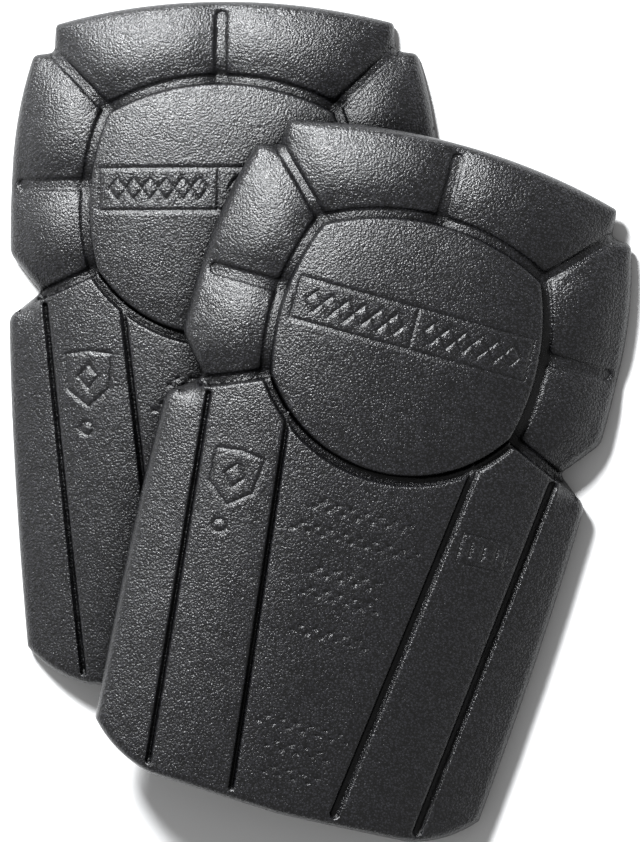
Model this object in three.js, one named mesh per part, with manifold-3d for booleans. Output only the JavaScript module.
// A pair of moulded foam knee-pad inserts, the front one lying on the rear one.
// Each pad is one curved foam shell that flex grooves divide into nine panels: a knee disc, a thigh
// flap, two side wings and five shin strips. The thin foam left under a groove is the hinge between
// two panels, and is a piece of its own here. Millimetres. In a pad's own frame +X is right,
// +Y points to the thigh, +Z points away from the knee, and its rims rest on z = 0.
import * as THREE from 'three';
import { mergeVertices } from 'three/addons/utils/BufferGeometryUtils.js';
import Module from 'manifold-3d';

const wasm = await Module();
wasm.setup();

// The shell: a gutter across the leg, bowed a little along it.
const HALF_LENGTH = 120;
const HALF_WIDTH = 75.5;
const CREST_Z = 25;
const CREST_Y = 40;
const EDGE_DROP = 16;
const DROP_CURVE = 2.4;
const THIGH_RADIUS = 400;
const SHIN_RADIUS = 2300;
const STRIP_THICKNESS = 12.5;
const KNEE_THICKNESS = 16;
const THIGH_THICKNESS = 13.5;
const HOLLOW_HALF_WIDTH = 68;
const HOLLOW_TAPER = 6;

// The outline, right half.
const TOP_CORNER = { x: 59.4, y: 112.5 };
const NOTCH_SHELF = { x: 60, y: 102.8 };
const WING_TOP = { x: 67.4, y: 102 };
const WING_WIDEST_Y = 40;
const WING_CURVE = 2.6;
const WING_BOTTOM_Y = 32.5;
const KNEE_NOTCH = { x: 64.3, y: 18.9 };
const SHOULDER_Y = 10.1;
const SHIN_CURVE = 1.6;
const SHIN_CORNER = { x: 69.2, y: -105.2 };
const SHIN_CORNER_BEND = { x: 60.5, y: -115 };
const END_CORNER = { x: 46.8, y: -118.1 };

// The knee disc, right half, as three arcs.
const DISC_TOP_Y = 90.9;
const DISC_SHOULDER = { x: 38.9, y: 81 };
const DISC_SIDE = { x: 42.8, y: 26.5 };
const DISC_SIDE_BULGE = 4.6;
const DISC_BOTTOM_Y = 3.3;

// The grooves, as centre lines on the right half, and the slots.
const GROOVE_WIDTH = 3.4;
const GROOVE_DEPTH = 4.5;
const UPPER_DIAGONAL = [{ x: 38.7, y: 81.5 }, { x: 59, y: 102 }];
const LOWER_DIAGONAL = [{ x: 43, y: 26.4 }, { x: 62.5, y: 18 }];
const INNER_GROOVE = [{ x: 33.8, y: 13.7 }, { x: 18.5, y: -115 }];
const OUTER_GROOVE = [{ x: 62, y: 15.9 }, { x: 48.4, y: -114 }];
const GROOVE_END_Y = -115.5;
const SLOT_WIDTH = 3.8;
const TOP_SLOT_END_Y = 116.4;
const SIDE_SLOT_Y = 56.4;
const SIDE_SLOT_END_X = 72;

// How the front pad lies: moved, turned clockwise, and tilted until its left rim meets the rear pad's
// crown and its right rim meets the ground.
const FRONT_X = 50.8;
const FRONT_Y = -45.8;
const FRONT_LIFT = 13.5;
const FRONT_TURN = -15.4;
const FRONT_ROLL = 10;

const CLEARANCE = 0.3;
const FAR = 200;
const BELOW = -20;
const ABOVE = 80;

const smooth = (t) => {
  const c = THREE.MathUtils.clamp(t, 0, 1);
  return c * c * (3 - 2 * c);
};
const flip = (p) => ({ x: -p.x, y: p.y });
const mirror = (points) => points.map(flip).reverse();

// ---- The shell's two faces ----

function crestHeight(y) {
  const radius = y > CREST_Y ? THIGH_RADIUS : SHIN_RADIUS;
  return CREST_Z - (y - CREST_Y) ** 2 / (2 * radius);
}

function outerZ(x, y) {
  return crestHeight(y) - EDGE_DROP * (Math.abs(x) / HALF_WIDTH) ** DROP_CURVE;
}

function thickness(y) {
  const toKnee = smooth((y + 20) / 60) * (KNEE_THICKNESS - STRIP_THICKNESS);
  const toThigh = smooth((y - 70) / 50) * (KNEE_THICKNESS - THIGH_THICKNESS);
  return STRIP_THICKNESS + toKnee - toThigh;
}

function hollowHalfWidth(y) {
  const along = THREE.MathUtils.clamp((SHOULDER_Y - y) / (SHOULDER_Y - SHIN_CORNER.y), 0, 1);
  return HOLLOW_HALF_WIDTH - HOLLOW_TAPER * along;
}

function innerZ(x, y) {
  const across = Math.min(1, Math.abs(x) / hollowHalfWidth(y));
  return (crestHeight(y) - thickness(y)) * (1 - across ** 2);
}

// ---- Solids ----

function toSolid(geometry) {
  const bare = geometry.index ? geometry : geometry.clone();
  bare.deleteAttribute('normal');
  bare.deleteAttribute('uv');
  const merged = mergeVertices(bare, 1e-5);
  return new wasm.Manifold(new wasm.Mesh({
    numProp: 3,
    vertProperties: new Float32Array(merged.attributes.position.array),
    triVerts: new Uint32Array(merged.index.array),
  }));
}

function toGeometry(solid) {
  const mesh = solid.getMesh();
  const geometry = new THREE.BufferGeometry();
  geometry.setAttribute('position', new THREE.BufferAttribute(mesh.vertProperties, 3));
  geometry.setIndex(new THREE.BufferAttribute(mesh.triVerts, 1));
  geometry.computeVertexNormals();
  return geometry;
}

function prism(points) {
  const shape = new THREE.Shape(points.map((p) => new THREE.Vector2(p.x, p.y)));
  const geometry = new THREE.ExtrudeGeometry(shape, { depth: ABOVE - BELOW, bevelEnabled: false });
  geometry.translate(0, 0, BELOW);
  return toSolid(geometry);
}

// A slab between two height functions, on a grid whose lines follow the edge of the hollow.
function slab(topZ, bottomZ) {
  const across = [-1.35, -1, -0.8, -0.6, -0.4, -0.2, 0, 0.2, 0.4, 0.6, 0.8, 1, 1.35];
  const rows = 13;
  const reach = HALF_LENGTH + 8;
  const columns = across.length;
  const positions = [];
  const triangles = [];
  for (const height of [topZ, bottomZ]) {
    for (let row = 0; row < rows; row += 1) {
      const y = -reach + (2 * reach * row) / (rows - 1);
      for (const share of across) {
        const x = share * hollowHalfWidth(y);
        positions.push(x, y, height(x, y));
      }
    }
  }
  const underside = rows * columns;
  const quad = (a, b, c, d) => triangles.push(a, b, c, a, c, d);
  for (let row = 0; row + 1 < rows; row += 1) {
    for (let column = 0; column + 1 < columns; column += 1) {
      const corner = row * columns + column;
      const above = corner + columns;
      quad(corner, corner + 1, above + 1, above);
      quad(underside + above, underside + above + 1, underside + corner + 1, underside + corner);
    }
  }
  for (let column = 0; column + 1 < columns; column += 1) {
    const last = (rows - 1) * columns + column;
    quad(underside + column, underside + column + 1, column + 1, column);
    quad(last, last + 1, underside + last + 1, underside + last);
  }
  for (let row = 0; row + 1 < rows; row += 1) {
    const left = row * columns;
    const right = left + columns - 1;
    quad(left, left + columns, underside + left + columns, underside + left);
    quad(underside + right, underside + right + columns, right + columns, right);
  }
  const geometry = new THREE.BufferGeometry();
  geometry.setAttribute('position', new THREE.BufferAttribute(new Float32Array(positions), 3));
  geometry.setIndex(triangles);
  return toSolid(geometry);
}

// ---- Outlines ----

// Points after the first on a circular arc from a to b that bulges by the given height to the right.
function arc(a, b, bulge, steps) {
  const chord = Math.hypot(b.x - a.x, b.y - a.y);
  const radius = (chord ** 2 / 4 + bulge ** 2) / (2 * bulge);
  const side = { x: (b.y - a.y) / chord, y: -(b.x - a.x) / chord };
  const centre = {
    x: (a.x + b.x) / 2 - side.x * (radius - bulge),
    y: (a.y + b.y) / 2 - side.y * (radius - bulge),
  };
  const from = Math.atan2(a.y - centre.y, a.x - centre.x);
  let sweep = Math.atan2(b.y - centre.y, b.x - centre.x) - from;
  if (sweep < 0) sweep += 2 * Math.PI;
  const points = [];
  for (let step = 1; step <= steps; step += 1) {
    const angle = from + (sweep * step) / steps;
    points.push({
      x: centre.x + radius * Math.cos(angle),
      y: centre.y + radius * Math.sin(angle),
    });
  }
  return points;
}

// The pad's edge, anticlockwise from the middle of its lower end.
function padOutline() {
  const right = [{ x: 0, y: -HALF_LENGTH }, END_CORNER];
  const bend = new THREE.QuadraticBezierCurve(
    new THREE.Vector2(END_CORNER.x, END_CORNER.y),
    new THREE.Vector2(SHIN_CORNER_BEND.x, SHIN_CORNER_BEND.y),
    new THREE.Vector2(SHIN_CORNER.x, SHIN_CORNER.y),
  );
  right.push(...bend.getPoints(5).slice(1));
  for (let step = 1; step <= 6; step += 1) {
    const t = 1 - step / 6;
    const y = SHOULDER_Y + t * (SHIN_CORNER.y - SHOULDER_Y);
    right.push({ x: HALF_WIDTH - (HALF_WIDTH - SHIN_CORNER.x) * t ** SHIN_CURVE, y });
  }
  right.push(KNEE_NOTCH, { x: HALF_WIDTH, y: WING_BOTTOM_Y });
  for (let step = 0; step <= 6; step += 1) {
    const t = step / 6;
    const y = WING_WIDEST_Y + t * (WING_TOP.y - WING_WIDEST_Y);
    right.push({ x: HALF_WIDTH - (HALF_WIDTH - WING_TOP.x) * t ** WING_CURVE, y });
  }
  right.push(NOTCH_SHELF, TOP_CORNER);
  const top = arc(TOP_CORNER, flip(TOP_CORNER), HALF_LENGTH - TOP_CORNER.y, 12);
  return [...right, ...top, ...mirror(right).slice(1, -1)];
}

// The disc's edge, anticlockwise from its lowest point, moved out by the given distance.
function discOutline(grow) {
  const low = { x: 0, y: DISC_BOTTOM_Y };
  const span = Math.hypot(DISC_SIDE.x, DISC_SIDE.y - DISC_BOTTOM_Y);
  const rise = DISC_SIDE.y - DISC_BOTTOM_Y;
  const bottomRadius = span ** 2 / (2 * rise);
  const bottomBulge = bottomRadius - Math.sqrt(bottomRadius ** 2 - span ** 2 / 4);
  const right = [low, ...arc(low, DISC_SIDE, bottomBulge, 6)];
  right.push(...arc(DISC_SIDE, DISC_SHOULDER, DISC_SIDE_BULGE, 6));
  const top = arc(DISC_SHOULDER, flip(DISC_SHOULDER), DISC_TOP_Y - DISC_SHOULDER.y, 10);
  const points = [...right, ...top, ...mirror(right).slice(1, -1)];
  return points.map((p, i) => {
    const before = points[(i + points.length - 1) % points.length];
    const after = points[(i + 1) % points.length];
    const length = Math.hypot(after.x - before.x, after.y - before.y);
    return {
      x: p.x + (grow * (after.y - before.y)) / length,
      y: p.y - (grow * (after.x - before.x)) / length,
    };
  });
}

// The point at distance d along the line from a through b, counted from a.
function along([a, b], d) {
  const length = Math.hypot(b.x - a.x, b.y - a.y);
  return { x: a.x + ((b.x - a.x) * d) / length, y: a.y + ((b.y - a.y) * d) / length };
}

// A straight band of the given width on a centre line, from distance d0 to d1.
function band(line, width, d0, d1) {
  const start = along(line, d0);
  const end = along(line, d1);
  const length = Math.hypot(end.x - start.x, end.y - start.y);
  const sx = (-(end.y - start.y) / length) * (width / 2);
  const sy = ((end.x - start.x) / length) * (width / 2);
  return [
    { x: start.x - sx, y: start.y - sy },
    { x: end.x - sx, y: end.y - sy },
    { x: end.x + sx, y: end.y + sy },
    { x: start.x + sx, y: start.y + sy },
  ];
}

// The area between two rays that leave the disc's middle through a groove's inner end.
const DISC_MIDDLE = { x: 0, y: 50 };
const THIGH_EDGE = [DISC_MIDDLE, UPPER_DIAGONAL[0], along(UPPER_DIAGONAL, FAR)];
const KNEE_EDGE = [DISC_MIDDLE, LOWER_DIAGONAL[0], along(LOWER_DIAGONAL, FAR)];
const INNER_EDGE = [along(INNER_GROOVE, FAR), along(INNER_GROOVE, -50)];
const OUTER_EDGE = [along(OUTER_GROOVE, FAR), along(OUTER_GROOVE, -50)];

const FLAP_AREA = [...THIGH_EDGE, ...mirror(THIGH_EDGE.slice(1))];
const WING_AREA = [...KNEE_EDGE, ...THIGH_EDGE.slice(1).reverse()];
const SHIN_AREA = [
  ...mirror(KNEE_EDGE.slice(1)), DISC_MIDDLE, ...KNEE_EDGE.slice(1),
  { x: FAR, y: -FAR }, { x: -FAR, y: -FAR },
].reverse();
const CENTER_AREA = [...INNER_EDGE, ...mirror(INNER_EDGE)];
const INNER_AREA = [INNER_EDGE[0], OUTER_EDGE[0], OUTER_EDGE[1], INNER_EDGE[1]];
const OUTER_AREA = [OUTER_EDGE[0], { x: FAR, y: -FAR }, { x: FAR, y: FAR / 2 }, OUTER_EDGE[1]];

// ---- One pad ----

const bothSides = (points) => prism(points).add(prism(mirror(points)));

function buildPad() {
  const edge = prism(padOutline());
  const full = slab(outerZ, innerZ).intersect(edge);
  const low = slab((x, y) => outerZ(x, y) - GROOVE_DEPTH, innerZ).intersect(edge);
  const skin = slab((x, y) => outerZ(x, y) + ABOVE / 4, (x, y) => outerZ(x, y) - GROOVE_DEPTH);

  const disc = prism(discOutline(0));
  const discAndRing = prism(discOutline(GROOVE_WIDTH));
  const ring = prism(discOutline(GROOVE_WIDTH - CLEARANCE)).subtract(prism(discOutline(CLEARANCE)));
  const beyondDisc = prism(discOutline(CLEARANCE));

  let panels = full.subtract(discAndRing);
  for (const line of [UPPER_DIAGONAL, LOWER_DIAGONAL, INNER_GROOVE, OUTER_GROOVE]) {
    panels = panels.subtract(bothSides(band(line, GROOVE_WIDTH, -GROOVE_WIDTH / 2, FAR)));
  }

  const topSlot = band([{ x: 0, y: DISC_TOP_Y }, { x: 0, y: TOP_SLOT_END_Y }], SLOT_WIDTH, 0,
    TOP_SLOT_END_Y - DISC_TOP_Y);
  const sideSlot = band([{ x: DISC_SIDE.x, y: SIDE_SLOT_Y }, { x: SIDE_SLOT_END_X, y: SIDE_SLOT_Y }],
    SLOT_WIDTH, 0, SIDE_SLOT_END_X - DISC_SIDE.x);
  panels = panels.subtract(skin.intersect(prism(topSlot).add(bothSides(sideSlot))));

  const shin = panels.intersect(prism(SHIN_AREA));
  const pieces = {
    knee_disc: full.intersect(disc),
    thigh_flap: panels.intersect(prism(FLAP_AREA)),
    wing_right: panels.intersect(prism(WING_AREA)),
    wing_left: panels.intersect(prism(mirror(WING_AREA))),
    shin_center: shin.intersect(prism(CENTER_AREA)),
    shin_inner_right: shin.intersect(prism(INNER_AREA)),
    shin_inner_left: shin.intersect(prism(mirror(INNER_AREA))),
    shin_outer_right: shin.intersect(prism(OUTER_AREA)),
    shin_outer_left: shin.intersect(prism(mirror(OUTER_AREA))),
  };

  // The hinges: the foam under each groove.
  const webWidth = GROOVE_WIDTH - 2 * CLEARANCE;
  const diagonals = bothSides(band(UPPER_DIAGONAL, webWidth, 0, FAR))
    .add(bothSides(band(LOWER_DIAGONAL, webWidth, 0, FAR))).subtract(beyondDisc);
  const diagonalGrooves = bothSides(band(UPPER_DIAGONAL, GROOVE_WIDTH, -GROOVE_WIDTH, FAR))
    .add(bothSides(band(LOWER_DIAGONAL, GROOVE_WIDTH, -GROOVE_WIDTH, FAR)));
  const land = prism([
    { x: -FAR, y: -FAR }, { x: FAR, y: -FAR }, { x: FAR, y: GROOVE_END_Y }, { x: -FAR, y: GROOVE_END_Y },
  ]);
  const rightHalf = [{ x: 0, y: -FAR }, { x: FAR, y: -FAR }, { x: FAR, y: FAR }, { x: 0, y: FAR }];
  const webOfWing = (area, side) => low.intersect(
    ring.intersect(prism(area)).add(diagonals.intersect(prism(side))));
  const webOfStrip = (outline) => low.add(full.intersect(land)).intersect(
    prism(outline).subtract(discAndRing).subtract(diagonalGrooves));
  const innerWeb = band(INNER_GROOVE, webWidth, 0, FAR);
  const outerWeb = band(OUTER_GROOVE, webWidth, 0, FAR);
  const shinRing = ring.subtract(diagonalGrooves).intersect(prism(SHIN_AREA));
  Object.assign(pieces, {
    hinge_thigh_flap: low.intersect(ring).intersect(prism(FLAP_AREA)).subtract(diagonalGrooves),
    hinge_wing_right: webOfWing(WING_AREA, rightHalf),
    hinge_wing_left: webOfWing(mirror(WING_AREA), mirror(rightHalf)),
    hinge_shin_center: low.add(full.intersect(prism(CENTER_AREA))).intersect(shinRing),
    hinge_shin_inner_right: webOfStrip(innerWeb),
    hinge_shin_inner_left: webOfStrip(mirror(innerWeb)),
    hinge_shin_outer_right: webOfStrip(outerWeb),
    hinge_shin_outer_left: webOfStrip(mirror(outerWeb)),
  });
  return pieces;
}

// ---- The pair ----

const foam = () => new THREE.MeshStandardMaterial({ color: 0x3d3d41, roughness: 0.55, metalness: 0 });

function padGroup(pieces, prefix) {
  const group = new THREE.Group();
  for (const [name, solid] of Object.entries(pieces)) {
    const mesh = new THREE.Mesh(toGeometry(solid), foam());
    mesh.name = `${prefix}_${name}`;
    group.add(mesh);
  }
  return group;
}

const pad = buildPad();
const rear = padGroup(pad, 'rear');
const front = padGroup(pad, 'front');
front.rotation.set(
  0,
  THREE.MathUtils.degToRad(FRONT_ROLL),
  THREE.MathUtils.degToRad(FRONT_TURN),
  'ZYX',
);
front.position.set(FRONT_X, FRONT_Y, FRONT_LIFT);

const pair = new THREE.Group();
pair.add(rear, front);

// The origin is under the middle of the pair, on the ground.
pair.updateMatrixWorld(true);
const box = new THREE.Box3().setFromObject(pair, true);
pair.position.set(-(box.min.x + box.max.x) / 2, -(box.min.y + box.max.y) / 2, -box.min.z);

export default pair;
